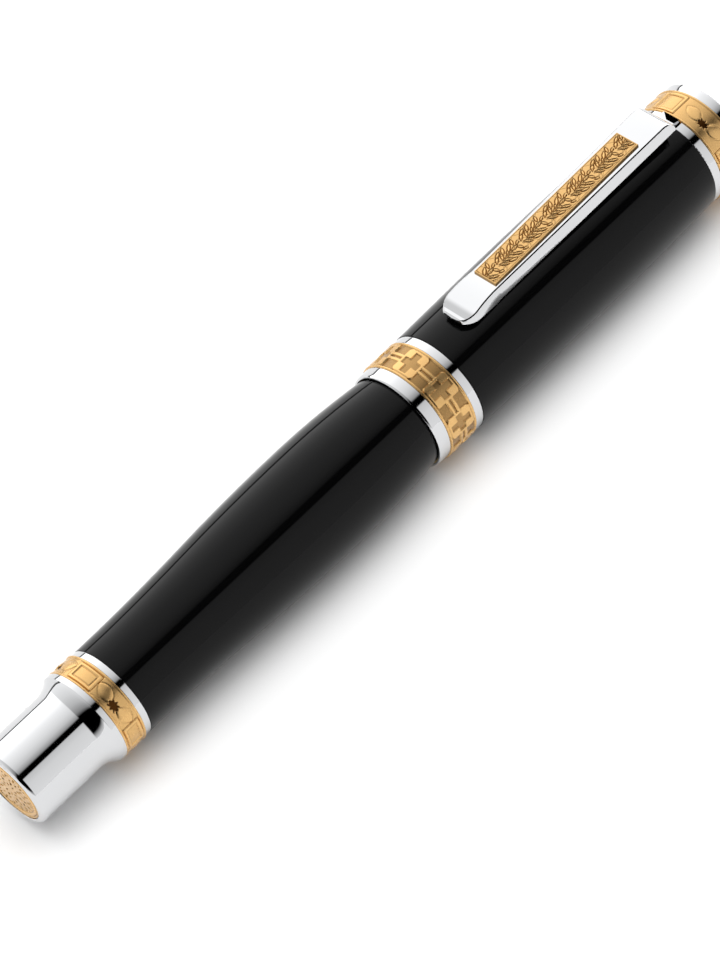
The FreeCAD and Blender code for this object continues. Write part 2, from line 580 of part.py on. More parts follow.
NODES = [
    "end_cap", "end_medallion", "end_band", "end_ring", "barrel_shell", "barrel_liner", "tail_stud",
    "refill_spring", "section_seal", "thread_bush", "section_ring", "grip_section", "nose_cone",
    "clutch_ring", "refill_plug", "refill_tube", "ink_wick", "tip_holder", "ball_socket", "writing_ball",
    "lip_ring", "cross_band", "band_ring", "cap_shell", "cap_liner", "inner_cap", "top_ring", "top_band",
    "cap_crown", "crown_screw", "clip_pin", "clip_spring", "clip_arm", "clip_plaque",
]

doc.recompute()
for piece in doc.Objects:
    if "Invalid" in piece.State or "Error" in piece.State:
        raise RuntimeError("%s did not rebuild: %s" % (piece.Label, piece.State))
os.makedirs("parts", exist_ok=True)
for node in NODES:
    shape = doc.getObjectsByLabel(node)[0].Shape
    if shape.isNull() or not shape.isValid():
        raise RuntimeError("%s has no sound shape" % node)
    shape.exportStep("parts/%s.step" % node)
    print("%s: %d solid, %.2f mm3" % (node, len(shape.Solids), shape.Volume))
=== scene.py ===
import json
import math

import bmesh
import bpy
import numpy as np
from mathutils import Matrix, Vector
from mathutils.bvhtree import BVHTree


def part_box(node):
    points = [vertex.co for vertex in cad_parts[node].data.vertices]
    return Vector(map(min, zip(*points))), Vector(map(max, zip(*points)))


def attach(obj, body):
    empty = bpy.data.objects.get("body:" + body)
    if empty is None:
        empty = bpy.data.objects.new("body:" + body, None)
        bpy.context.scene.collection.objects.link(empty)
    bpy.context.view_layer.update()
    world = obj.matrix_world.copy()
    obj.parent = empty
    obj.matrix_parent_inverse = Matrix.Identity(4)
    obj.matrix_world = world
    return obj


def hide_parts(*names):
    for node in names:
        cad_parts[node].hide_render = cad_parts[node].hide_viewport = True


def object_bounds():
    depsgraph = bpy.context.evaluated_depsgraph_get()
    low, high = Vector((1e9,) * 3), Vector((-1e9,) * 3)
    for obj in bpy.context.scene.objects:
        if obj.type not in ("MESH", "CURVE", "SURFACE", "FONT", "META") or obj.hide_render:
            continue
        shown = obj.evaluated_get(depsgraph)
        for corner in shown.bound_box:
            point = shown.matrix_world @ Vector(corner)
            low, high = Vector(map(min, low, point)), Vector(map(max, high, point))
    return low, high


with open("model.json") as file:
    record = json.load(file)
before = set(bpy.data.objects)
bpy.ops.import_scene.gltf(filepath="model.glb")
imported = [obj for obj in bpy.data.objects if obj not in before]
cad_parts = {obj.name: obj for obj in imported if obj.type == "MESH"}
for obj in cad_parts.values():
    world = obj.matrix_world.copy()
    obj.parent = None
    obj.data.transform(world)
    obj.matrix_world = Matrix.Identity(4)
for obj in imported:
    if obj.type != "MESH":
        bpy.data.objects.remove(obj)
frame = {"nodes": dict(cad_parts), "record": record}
cad_low, cad_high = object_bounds()

MM = 0.001
TURN = 2 * math.pi
# how deep the relief on the bands and the plaque goes, and how far their outer edges are let down
RELIEF = 0.26 * MM
LET_DOWN = 0.05 * MM


# ---- materials ----

def principled(name, **inputs):
    """A new node material, its tree, and its Principled shader with plain values set on the sockets."""
    material = bpy.data.materials.new(name)
    material.use_nodes = True
    shader = material.node_tree.nodes["Principled BSDF"]
    for label, level in inputs.items():
        shader.inputs[label.replace("_", " ")].default_value = level
    return material, material.node_tree, shader


def noise_of(tree, scale, detail=3.0, stretch=(1, 1, 1)):
    """Noise laid out in the object's own coordinates, in features per metre."""
    where = tree.nodes.new("ShaderNodeTexCoord")
    placed = tree.nodes.new("ShaderNodeMapping")
    placed.inputs["Scale"].default_value = stretch
    noise = tree.nodes.new("ShaderNodeTexNoise")
    noise.inputs["Scale"].default_value = scale
    noise.inputs["Detail"].default_value = detail
    tree.links.new(where.outputs["Object"], placed.inputs["Vector"])
    tree.links.new(placed.outputs["Vector"], noise.inputs["Vector"])
    return noise.outputs["Fac"]


def ranged(tree, source, low, high):
    """The source, 0 to 1, stretched to run from low to high."""
    node = tree.nodes.new("ShaderNodeMapRange")
    node.inputs["To Min"].default_value = low
    node.inputs["To Max"].default_value = high
    tree.links.new(source, node.inputs["Value"])
    return node.outputs["Result"]


def bumped(tree, shader, source, strength, distance):
    """Lets the source raise and sink the surface by a fine amount."""
    node = tree.nodes.new("ShaderNodeBump")
    node.inputs["Strength"].default_value = strength
    node.inputs["Distance"].default_value = distance
    tree.links.new(source, node.inputs["Height"])
    tree.links.new(node.outputs["Normal"], shader.inputs["Normal"])


def mixed_colour(tree, shader, factor, first, second):
    """A base colour that runs from the first to the second as the factor goes from 0 to 1."""
    node = tree.nodes.new("ShaderNodeMix")
    node.data_type = "RGBA"
    tree.links.new(factor, node.inputs["Factor"])
    node.inputs["A"].default_value = (*first, 1)
    node.inputs["B"].default_value = (*second, 1)
    tree.links.new(node.outputs["Result"], shader.inputs["Base Color"])
    return node


def lacquer_material():
    """Black lacquer, with a low index so that the studio's strips show only faintly in it."""
    material, tree, shader = principled("black_lacquer", Roughness=0.06, IOR=1.25)
    mixed_colour(tree, shader, noise_of(tree, 90), (0.0010, 0.0010, 0.0011), (0.0016, 0.0016, 0.0017))
    tree.links.new(ranged(tree, noise_of(tree, 260, 5), 0.03, 0.07), shader.inputs["Roughness"])
    bumped(tree, shader, noise_of(tree, 500, 2), 0.02, 0.02 * MM)
    return material


def chrome_material():
    """Polished chrome with faint marks drawn along the pen."""
    material, tree, shader = principled("polished_chrome", Metallic=1.0, Roughness=0.05)
    mixed_colour(tree, shader, noise_of(tree, 120), (0.63, 0.635, 0.645), (0.67, 0.675, 0.685))
    drawn = noise_of(tree, 900, 4, (0.1, 1, 1))
    tree.links.new(ranged(tree, drawn, 0.03, 0.08), shader.inputs["Roughness"])
    bumped(tree, shader, noise_of(tree, 700, 2), 0.015, 0.02 * MM)
    return material


def gold_material():
    """Satin gold with painted shade: browner in the sunk parts, darkened from the mesh's record of how much
    painted shade each point takes.
    """
    material, tree, shader = principled("satin_gold", Metallic=1.0, Roughness=0.28)
    # the mesh's "sunk" record is the amount of painted shade at each point; the second colour below is that
    # painted shade, a dark brown for pits and grooves
    depth = tree.nodes.new("ShaderNodeAttribute")
    depth.attribute_name = "sunk"
    mixed_colour(tree, shader, depth.outputs["Fac"], (0.74, 0.46, 0.185), (0.07, 0.026, 0.006))
    tree.links.new(ranged(tree, noise_of(tree, 1400, 5), 0.2, 0.36), shader.inputs["Roughness"])
    bumped(tree, shader, noise_of(tree, 2600, 4), 0.12, 0.02 * MM)
    return material


def turned_metal(name, first, second, roughness):
    """Metal with fine rings left by the lathe, which run round the pen's axis."""
    material, tree, shader = principled(name, Metallic=1.0, Roughness=roughness)
    rings = noise_of(tree, 2200, 2, (1, 0.02, 0.02))
    mixed_colour(tree, shader, noise_of(tree, 300), first, second)
    tree.links.new(ranged(tree, rings, roughness * 0.7, roughness * 1.3), shader.inputs["Roughness"])
    bumped(tree, shader, rings, 0.15, 0.02 * MM)
    return material


def moulded(name, first, second, roughness):
    """Moulded plastic, rubber or fibre with a fine grain."""
    material, tree, shader = principled(name, Roughness=roughness, IOR=1.46)
    mixed_colour(tree, shader, noise_of(tree, 400), first, second)
    tree.links.new(ranged(tree, noise_of(tree, 1500, 4), roughness * 0.85, roughness * 1.1),
                   shader.inputs["Roughness"])
    bumped(tree, shader, noise_of(tree, 3000, 3), 0.1, 0.02 * MM)
    return material


MATERIALS = {
    "lacquer": lacquer_material(),
    "grip": lacquer_material(),
    "chrome": chrome_material(),
    "gold": gold_material(),
    "brass": turned_metal("turned_brass", (0.78, 0.55, 0.24), (0.70, 0.47, 0.19), 0.22),
    "spring_steel": turned_metal("spring_steel", (0.62, 0.63, 0.65), (0.52, 0.53, 0.55), 0.2),
    "refill_metal": turned_metal("refill_metal", (0.72, 0.71, 0.68), (0.62, 0.61, 0.58), 0.25),
    "carbide": turned_metal("carbide", (0.45, 0.46, 0.48), (0.4, 0.41, 0.43), 0.1),
    "seal": moulded("rubber_seal", (0.018, 0.018, 0.018), (0.03, 0.03, 0.03), 0.7),
    "inner_plastic": moulded("inner_plastic", (0.03, 0.03, 0.032), (0.045, 0.045, 0.048), 0.42),
    "fibre": moulded("ink_fibre", (0.03, 0.04, 0.14), (0.05, 0.07, 0.22), 0.85),
}
SLOT_OF = {part["node"]: part["material_slot"] for part in frame["record"]["subparts"]}
BODY_OF = {node: body for body, nodes in frame["record"]["behaviour"]["bodies"].items() for node in nodes}


def finish_with(piece, slot):
    """The piece takes the one material of the slot."""
    piece.data.materials.clear()
    piece.data.materials.append(MATERIALS[slot])


# ---- meshes ----

def mesh_piece(name, vertices, faces, sharp=35):
    """A smooth-shaded object from points and faces, its edges sharp past an angle in degrees."""
    mesh = bpy.data.meshes.new(name)
    mesh.from_pydata([tuple(v) for v in vertices], [], faces)
    mesh.validate()
    mesh.shade_smooth()
    mesh.set_sharp_from_angle(angle=math.radians(sharp))
    piece = bpy.data.objects.new(name, mesh)
    bpy.context.scene.collection.objects.link(piece)
    return piece


def in_place_of(piece, node):
    """The piece rides where the node does, takes its finish, and is shown in its place."""
    finish_with(piece, SLOT_OF[node])
    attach(piece, BODY_OF[node])
    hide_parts(node)
    return piece


def half_section(node):
    """The node's outline on one side of the pen's axis, as (x, r) pairs in order round the section."""
    cutter = bmesh.new()
    cutter.from_mesh(frame["nodes"][node].data)
    bmesh.ops.remove_doubles(cutter, verts=cutter.verts, dist=1e-7)
    everything = cutter.verts[:] + cutter.edges[:] + cutter.faces[:]
    cut = bmesh.ops.bisect_plane(cutter, geom=everything, plane_co=(0, 0, 0), plane_no=(0, 1, 0), dist=1e-8)
    edges = [e for e in cut["geom_cut"] if isinstance(e, bmesh.types.BMEdge)]
    below = [e for e in edges if (e.verts[0].co.z + e.verts[1].co.z) < 0]
    links = {}
    for edge in below:
        for vertex in edge.verts:
            links.setdefault(vertex.index, []).append(edge)
    start = min((v for e in below for v in e.verts), key=lambda v: (len(links[v.index]), v.co.x, -v.co.z))
    outline, vertex, used = [], start, set()
    while vertex is not None:
        outline.append((vertex.co.x, max(0.0, -vertex.co.z)))
        following = [e for e in links[vertex.index] if e not in used]
        if not following:
            break
        used.add(following[0])
        vertex = following[0].other_vert(vertex)
        if vertex == start:
            break
    cutter.free()
    return [np.array(p) for p in outline]


def turn_at(before, here, after):
    """How sharply an outline turns at a point, in degrees."""
    first, second = here - before, after - here
    cosine = first @ second / (np.linalg.norm(first) * np.linalg.norm(second))
    return math.degrees(math.acos(max(-1, min(1, cosine))))


def cleaned(outline, gap=1e-6):
    """The closed outline without points that lie closer than the gap to the one before."""
    kept = []
    for point in outline:
        if not kept or np.linalg.norm(point - kept[-1]) > gap:
            kept.append(point)
    if np.linalg.norm(kept[0] - kept[-1]) < gap:
        kept.pop()
    return kept


def softened(outline, radius, corner=20, steps=5):
    """The outline with each sharp corner off the axis rounded, and smooth stretches made finer."""
    count = len(outline)
    done = []
    for index, here in enumerate(outline):
        before, after = outline[index - 1], outline[(index + 1) % count]
        angle = turn_at(before, here, after)
        if here[1] < 1e-7 or angle < corner:
            done.append(here)
            continue
        into, out = before - here, after - here
        into_length, out_length = np.linalg.norm(into), np.linalg.norm(out)
        reach = min(radius * math.tan(math.radians(angle) / 2), into_length * 0.45, out_length * 0.45)
        first, last = here + into / into_length * reach, here + out / out_length * reach
        for step in range(steps + 1):
            t = step / steps
            done.append((1 - t) ** 2 * first + 2 * t * (1 - t) * here + t ** 2 * last)
    return done


def lathed(name, outline, segments=144):
    """Turns a closed outline of (x, r) about the pen's axis."""
    vertices, rings, faces = [], [], []
    for x, r in outline:
        if r < 1e-7:
            rings.append([len(vertices)] * segments)
            vertices.append((x, 0, 0))
            continue
        rings.append(list(range(len(vertices), len(vertices) + segments)))
        for k in range(segments):
            angle = TURN * k / segments
            vertices.append((x, r * math.sin(angle), r * math.cos(angle)))
    for ring, following in zip(rings, rings[1:] + rings[:1]):
        for k in range(segments):
            j = (k + 1) % segments
            corners = [ring[k], following[k], following[j], ring[j]]
            face = list(dict.fromkeys(corners))
            if len(face) > 2:
                faces.append(face)
    piece = mesh_piece(name, vertices, faces)
    outward(piece)
    return piece


def merged(piece):
    """Joins corners that lie on one another and drops the faces that have no area."""
    shell = bmesh.new()
    shell.from_mesh(piece.data)
    bmesh.ops.remove_doubles(shell, verts=shell.verts, dist=1e-7)
    bmesh.ops.dissolve_degenerate(shell, edges=shell.edges, dist=1e-8)
    shell.to_mesh(piece.data)
    shell.free()


def outward(piece):
    """Makes the faces of a closed mesh point outwards."""
    shell = bmesh.new()
    shell.from_mesh(piece.data)
    bmesh.ops.recalc_face_normals(shell, faces=shell.faces)
    shell.to_mesh(piece.data)
    shell.free()


def refined(node, radius=0.06 * MM, segments=144):
    """A turned node made again with a fine mesh and softened edges, to the node's own section."""
    outline = softened(cleaned(half_section(node)), radius)
    return in_place_of(lathed(node + "_fine", outline, segments), node)


def smooth_step(value, edge, width):
    """0 below the edge and 1 above it, with a smooth rise of the given width."""
    t = np.clip((value - edge) / width + 0.5, 0, 1)
    return t * t * (3 - 2 * t)


def box_height(u, v, half_u, half_v, soft):
    """A raised rectangle: 1 inside, falling to 0 over the soft width."""
    return smooth_step(half_u - np.abs(u), 0, soft) * smooth_step(half_v - np.abs(v), 0, soft)


def relief_band(node, height, bore, around=720, across=56):
    """A band round the axis whose outside is raised by height(arc, along), both in metres, from 0 to 1."""
    low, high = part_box(node)
    crest = high.y
    x = np.linspace(low.x, high.x, across)
    angle = np.arange(around) * TURN / around
    arc_grid, x_grid = np.meshgrid(angle, x, indexing="xy")
    raised = height(arc_grid, x_grid - (low.x + high.x) / 2, crest, (high.x - low.x) / 2)
    radius = crest - RELIEF * (1 - raised)
    radius[0] = radius[-1] = crest - LET_DOWN
    vertices = np.stack([x_grid, radius * np.sin(arc_grid), radius * np.cos(arc_grid)], -1).reshape(-1, 3)
    inner = [np.stack([np.full(around, end), bore * np.sin(angle), bore * np.cos(angle)], -1)
             for end in (high.x, low.x)]
    vertices = np.concatenate([vertices, *inner])
    rows = across + 2
    faces = []
    for i in range(rows):
        for k in range(around):
            a, b = i * around, (i + 1) % rows * around
            j = (k + 1) % around
            faces.append((a + k, b + k, b + j, a + j))
    piece = mesh_piece(node + "_relief", vertices, faces, 60)
    outward(piece)
    # painted shade in the band's pits and grooves, none on its bore
    sunk = np.concatenate([painted_shade_of(raised).ravel(), np.zeros(2 * around)])
    paint_pit_shade(piece, sunk)
    return in_place_of(piece, node)


def paint_pit_shade(piece, sunk):
    """Records on the mesh how much painted shade each point takes: 0 on the raised parts, 1 at the bottom
    of a deep pit.
    """
    # the "sunk" attribute holds the painted shade that the gold finish reads
    layer = piece.data.attributes.new("sunk", "FLOAT", "POINT")
    layer.data.foreach_set("value", np.clip(sunk, 0, 1).astype(np.float32))


def painted_shade_of(raised):
    """How much painted shade a relief's height gives: floors take only a little of it, and only deep pits
    take much.
    """
    depth = 1 - raised
    return 0.3 * depth + 0.7 * depth ** 6


def leaf_height(u, v, half_long, half_wide):
    """A domed lens with pointed ends, long in u."""
    reach = np.clip(1 - (u / half_long) ** 2, 0, 1)
    edge = half_wide * reach
    inside = np.clip(1 - (v / np.maximum(edge, 1e-9)) ** 2, 0, 1)
    return np.where(edge > 0, inside ** 0.5, 0) * np.minimum(1, reach * 3)


def nearest(angle, phase, count):
    """The signed angle from the nearest of count places spaced evenly round the band."""
    step = TURN / count
    return (angle - phase + step / 2) % step - step / 2


RIM = 0.34 * MM
EDGE = 0.09 * MM
GROUND = 0.62


def rims(along, half):
    """Raised rims with a thin groove inside each."""
    groove = smooth_step(0.07 * MM - np.abs(np.abs(along) - (half - RIM)), 0, EDGE)
    return 1 - 0.45 * groove


def carved(ground, u, v, half_long, half_wide, groove, height=1.0, depth=0.25):
    """Adds a domed leaf to the ground, with a groove cut round it."""
    reach = np.clip(1 - (u / (half_long + groove)) ** 2, 0, 1)
    outside = smooth_step((half_wide + groove) * reach - np.abs(v), 0, groove)
    ground = ground * (1 - outside) + depth * outside
    dome = leaf_height(u, v, half_long, half_wide)
    return np.maximum(ground, height * (0.45 * (dome > 0.02) + 0.55 * dome) * (dome > 0.02))


def turned_to(u, v, place_u, place_v, degrees):
    """Coordinates along and across a mark that lies at a place and angle."""
    lean = math.radians(degrees)
    du, dv = u - place_u, v - place_v
    return du * math.cos(lean) + dv * math.sin(lean), dv * math.cos(lean) - du * math.sin(lean)


def frames_and_leaves(phase):
    """The height of a band with four plain frames and a pinched pair of leaves between each two."""
    def height(angle, along, crest, half):
        inner = half - RIM
        tall = np.minimum(rims(along, half), np.where(np.abs(along) < inner, GROUND, 1))
        arc = nearest(angle, phase, 4) * crest
        between = nearest(angle, phase + TURN / 8, 4) * crest
        pinch_u, pinch_v = turned_to(between, along, 0, -0.35 * MM, 0)
        spikes = [(0, 0.95, 0.42), (38, 1.0, 0.2), (-38, 1.0, 0.2), (90, 0.75, 0.3)]
        for side in (-1, 1):
            u, v = turned_to(between, along, side * 1.95 * MM, 0.05 * MM, 16 * side)
            tall = carved(tall, u, v, 1.62 * MM, 0.88 * MM, 0.12 * MM, 0.98, 0.4)
        for lean, long_mm, wide_mm in spikes:
            u, v = turned_to(pinch_u, pinch_v, 0, 0, lean)
            # spike-shaped pits, dark only through the painted shade that deep pits take
            spike_pit = leaf_height(u, v, long_mm * MM, wide_mm * MM)
            tall = np.minimum(tall, 1 - smooth_step(spike_pit, 0.15, 0.3))
        long_half, wide_half = 2.08 * MM, inner - 0.1 * MM
        outer = box_height(arc, along, long_half, wide_half, EDGE)
        hollow = box_height(arc, along, long_half - 0.48 * MM, wide_half - 0.4 * MM, EDGE)
        foot = box_height(arc, along, long_half + 0.1 * MM, wide_half + 0.1 * MM, EDGE)
        tall = tall * (1 - 0.45 * foot)
        tall = np.maximum(tall, outer * (1 - 0.42 * hollow))
        wall = smooth_step(0.09 * MM - np.abs(np.maximum(np.abs(arc) - (long_half - 0.54 * MM),
                                                         np.abs(along) - (wide_half - 0.46 * MM))), 0, EDGE)
        return tall * (1 - 0.4 * wall * outer)
    return height


def plates_and_links(angle, along, crest, half):
    """The height of a band with nine plates, each sunk in a cross, joined by a pair of links."""
    inner = half - RIM
    tall = np.minimum(rims(along, half), np.where(np.abs(along) < inner, 0.12, 1))
    plate_half, wide_half = 1.76 * MM, inner - 0.05 * MM
    arc = nearest(angle, 0, 9) * crest
    corner = 0.5 * MM
    rounding = np.hypot(np.maximum(np.abs(arc) - plate_half + corner, 0),
                        np.maximum(np.abs(along) - wide_half + corner, 0))
    plate = smooth_step(corner - rounding, 0, EDGE)
    bar = 0.52 * MM
    cross = np.maximum(box_height(arc, along, plate_half - 0.38 * MM, bar, EDGE),
                       box_height(arc, along, bar, wide_half - 0.34 * MM, EDGE))
    tall = np.maximum(tall, plate * (1 - 0.85 * cross))
    between = nearest(angle, TURN / 18, 9) * crest
    for side in (-1, 1):
        link = box_height(between, along - side * 0.42 * MM, 1.2 * MM, 0.24 * MM, EDGE)
        tall = np.maximum(tall, 0.96 * link)
    return tall


def node_bore(node):
    """The smallest radius of a ring-shaped node's own section."""
    return min(point[1] for point in half_section(node))


# ---- clip ----

# the CAD's own stations that its box doesn't give
BEND_START, BAR_FRONT = 126.4 * MM, 128.6 * MM
TONGUE_TOP, LUG_END = 9.0 * MM, 8.45 * MM
SEAT_DEPTH = 0.25 * MM
# a step past the plaque's ends, so that the seat starts with an upright wall
WALL = 1e-6


def solid_tree(node):
    mesh = bmesh.new()
    mesh.from_mesh(frame["nodes"][node].data)
    tree = BVHTree.FromBMesh(mesh)
    mesh.free()
    return tree


def struck(tree, start, direction):
    """Where a ray from the start first meets the mesh, or None."""
    return tree.ray_cast(Vector(start), Vector(direction))[0]


def clip_section(tree, x, seat_half, seat_depth):
    """The clip's section at a station, as (y, z) corners in order, measured off the CAD node."""
    # heights well above the clip, and below it inside the cap, for rays to start from
    far, under_far = 30 * MM, 6 * MM
    crown = struck(tree, (x, 0, far), (0, 0, -1)).z
    flank = struck(tree, (x, far, crown - 0.4 * MM), (0, -1, 0))
    half = flank.y if flank else 0.02 * MM
    top = struck(tree, (x, half * 0.9, far), (0, 0, -1)).z
    under = struck(tree, (x, half * 0.9, under_far), (0, 0, 1)).z
    fall = min(0.11 * MM, 0.3 * (top - under))
    foot, shoulder = half + min(0.15 * MM, 0.1 * half), half - min(0.06 * MM, 0.05 * half)
    shoulder_in = shoulder - min(0.17 * MM, 0.2 * half)
    seat = min(seat_half, shoulder_in - 0.02 * half)
    corners = [(foot, under + fall / 2), (shoulder, top - fall), (shoulder_in, top), (seat, top),
               (seat, top - seat_depth)]
    below = []
    for share in (1, 0.6, 0.3, 0):
        y = (half - fall) * share
        hit = struck(tree, (x, y, under_far), (0, 0, 1))
        clear = hit and hit.z < top - seat_depth - 0.1 * MM
        below.append((y, max(under, hit.z) if clear else under))
    right = [(-y, z) for y, z in reversed(corners)]
    return corners + right + [(-y, z) for y, z in below] + [(y, z) for y, z in reversed(below[:-1])]


def clip_piece():
    """The clip's arm drawn through sections of the CAD node, with its lug kept from the node itself."""
    node = "clip_arm"
    tree = solid_tree(node)
    low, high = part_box(node)
    plaque_low, plaque_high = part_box("clip_plaque")
    bend, front = BEND_START, BAR_FRONT
    curve = 1 - np.cos(np.linspace(0, math.pi / 2, 30)[1:-1])
    tip = [low.x + 0.004 * MM, *(low.x + (plaque_low.x - low.x) * curve), plaque_low.x - WALL]
    seated = list(np.linspace(plaque_low.x + WALL, plaque_high.x - WALL, 14))
    past = [plaque_high.x + WALL, (plaque_high.x + bend) / 2]
    turn = [min(bend + (front - bend) * math.sin(t), front - WALL) for t in np.linspace(0, math.pi / 2, 16)]
    vertices, faces = [], []
    stations = tip + seated + past + turn
    for x in stations:
        depth = SEAT_DEPTH if plaque_low.x < x < plaque_high.x else 0
        section = clip_section(tree, x, plaque_high.y, depth)
        vertices += [(x, y, z) for y, z in section]
    count = len(section)
    for i in range(len(stations) - 1):
        for k in range(count):
            j = (k + 1) % count
            a, b = i * count, (i + 1) * count
            faces.append((a + k, b + k, b + j, a + j))
    faces.append(tuple(range(count)))
    faces.append(tuple(range(len(vertices) - count, len(vertices)))[::-1])
    lug = bmesh.new()
    lug.from_mesh(frame["nodes"][node].data)
    slope = (TONGUE_TOP - LUG_END) / (high.x - front)
    behind_bend = (bend + 0.4 * MM, 0, 0), (-1, 0, 0)
    above_tongue = (front, 0, TONGUE_TOP), (slope, 0, 1)
    for place, side in (behind_bend, above_tongue):
        everything = lug.verts[:] + lug.edges[:] + lug.faces[:]
        cut = bmesh.ops.bisect_plane(lug, geom=everything, plane_co=place, plane_no=side, clear_outer=True,
                                     dist=1e-7)
        rim = [e for e in cut["geom_cut"] if isinstance(e, bmesh.types.BMEdge)]
        bmesh.ops.contextual_create(lug, geom=rim)
    lug.verts.index_update()
    start = len(vertices)
    vertices += [tuple(v.co) for v in lug.verts]
    faces += [tuple(start + v.index for v in face.verts) for face in lug.faces]
    lug.free()
    piece = mesh_piece("clip_arm_fine", vertices, faces, 30)
    merged(piece)
    outward(piece)
    piece.data.set_sharp_from_angle(angle=math.radians(30))
    return in_place_of(piece, node)


SPRIGS = 6
# how far the sprigs' tops stand above the flat of the CAD plaque
PLAQUE_PROUD = 0.07 * MM
# the leaves of one sprig: place along and across in mm, lean in degrees, half length and half width in mm
LEAVES = [(-1.75, 0.62, 42, 0.66, 0.19), (-1.65, -0.66, -48, 0.68, 0.2), (-1.1, 1.12, 24, 0.6, 0.18),
          (-0.95, 0.42, 60, 0.55, 0.17), (-0.75, -0.5, -36, 0.7, 0.2), (-0.35, -1.15, -20, 0.66, 0.19),
          (-0.2, 1.0, 52, 0.64, 0.2), (0.15, 0.35, 30, 0.5, 0.16), (0.35, -0.42, -58, 0.56, 0.18),
          (0.75, 0.72, 40, 0.7, 0.2), (0.85, -0.95, -40, 0.66, 0.2), (1.25, 0.1, 6, 0.6, 0.2),
          (1.7, 1.05, 64, 0.5, 0.16), (1.85, -0.45, -70, 0.5, 0.17), (2.2, 0.45, 20, 0.42, 0.14),
          (2.15, -1.2, -12, 0.44, 0.15)]


def sprig_height(u, v, pitch):
    """A spray of leaves along a stem, repeated along the plaque, with grooves between the leaves."""
    u = (u + pitch / 2) % pitch - pitch / 2
    tall = np.full_like(u, 0.8)
    stem_u, stem_v = turned_to(u, v, 0, 0, 8)
    tall = carved(tall, stem_u, stem_v, 1.5 * MM, 0.1 * MM, 0.1 * MM, 0.95)
    for place_u, place_v, lean, long_mm, wide_mm in LEAVES:
        leaf_u, leaf_v = turned_to(u, v, place_u * MM, place_v * MM, lean)
        tall = carved(tall, leaf_u, leaf_v, long_mm * MM, wide_mm * MM, 0.1 * MM)
    return tall


def plaque_piece():
    """The plaque with its sprigs raised and their gaps sunk, on the clip's slope."""
    node = "clip_plaque"
    tree = solid_tree(node)
    low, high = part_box(node)
    inset = 0.12 * MM
    ends = [struck(tree, (x, high.y - inset, 0.03), (0, 0, -1)).z for x in (low.x + inset, high.x - inset)]
    slope = (ends[1] - ends[0]) / (high.x - low.x - 2 * inset)
    foot = -struck(tree, (low.x + inset, 0, -0.03), (0, 0, 1)).z + ends[0]
    along, across = 640, 88
    x, y = np.meshgrid(np.linspace(low.x, high.x, along), np.linspace(low.y, high.y, across), indexing="ij")
    middle = (low.x + high.x) / 2
    tall = sprig_height(x - middle, y, (high.x - low.x) / SPRIGS)
    border = 1 - box_height(x - middle, y, (high.x - low.x) / 2 - 0.2 * MM, high.y - 0.2 * MM, 0.12 * MM)
    tall = np.maximum(tall * (1 - border), 0.8 * border)
    plane = ends[0] + (x - low.x - inset) * slope
    z = plane + PLAQUE_PROUD - RELIEF * (1 - tall)
    z[0], z[-1], z[:, 0], z[:, -1] = (line - LET_DOWN for line in (z[0], z[-1], z[:, 0], z[:, -1]))
    base = plane - foot
    upper = np.stack([x, y, z], -1).reshape(-1, 3)
    lower = np.stack([x, y, base], -1).reshape(-1, 3)
    rim = ([i * across for i in range(along)] + [(along - 1) * across + j for j in range(1, across)]
           + [i * across + across - 1 for i in range(along - 2, -1, -1)] + list(range(across - 2, 0, -1)))
    faces = [(i * across + j, (i + 1) * across + j, (i + 1) * across + j + 1, i * across + j + 1)
             for i in range(along - 1) for j in range(across - 1)]
    start = len(upper)
    faces += [(a, b, start + q, start + p)
              for p, (a, b) in enumerate(zip(rim, rim[1:] + rim[:1])) for q in [(p + 1) % len(rim)]]
    faces.append(tuple(range(start, start + len(rim))))
    piece = mesh_piece("clip_plaque_relief", np.concatenate([upper, lower[rim]]), faces, 60)
    outward(piece)
    # painted shade: deeper grooves darker, and the plaque's sides and underside painted dark all over
    paint_pit_shade(piece, np.concatenate([0.8 * (1 - tall).ravel(), np.full(len(rim), 0.7)]))
    return in_place_of(piece, node)


# rings of small pits in the tail's disc: how many, radius, half length and half width in mm, turn
PITS = [(8, 1.1, 0.3, 0.16, 0.0), (8, 1.95, 0.42, 0.2, 0.39), (16, 2.75, 0.3, 0.15, 0.1),
        (16, 3.45, 0.36, 0.17, 0.3), (24, 3.8, 0.16, 0.12, 0.05)]


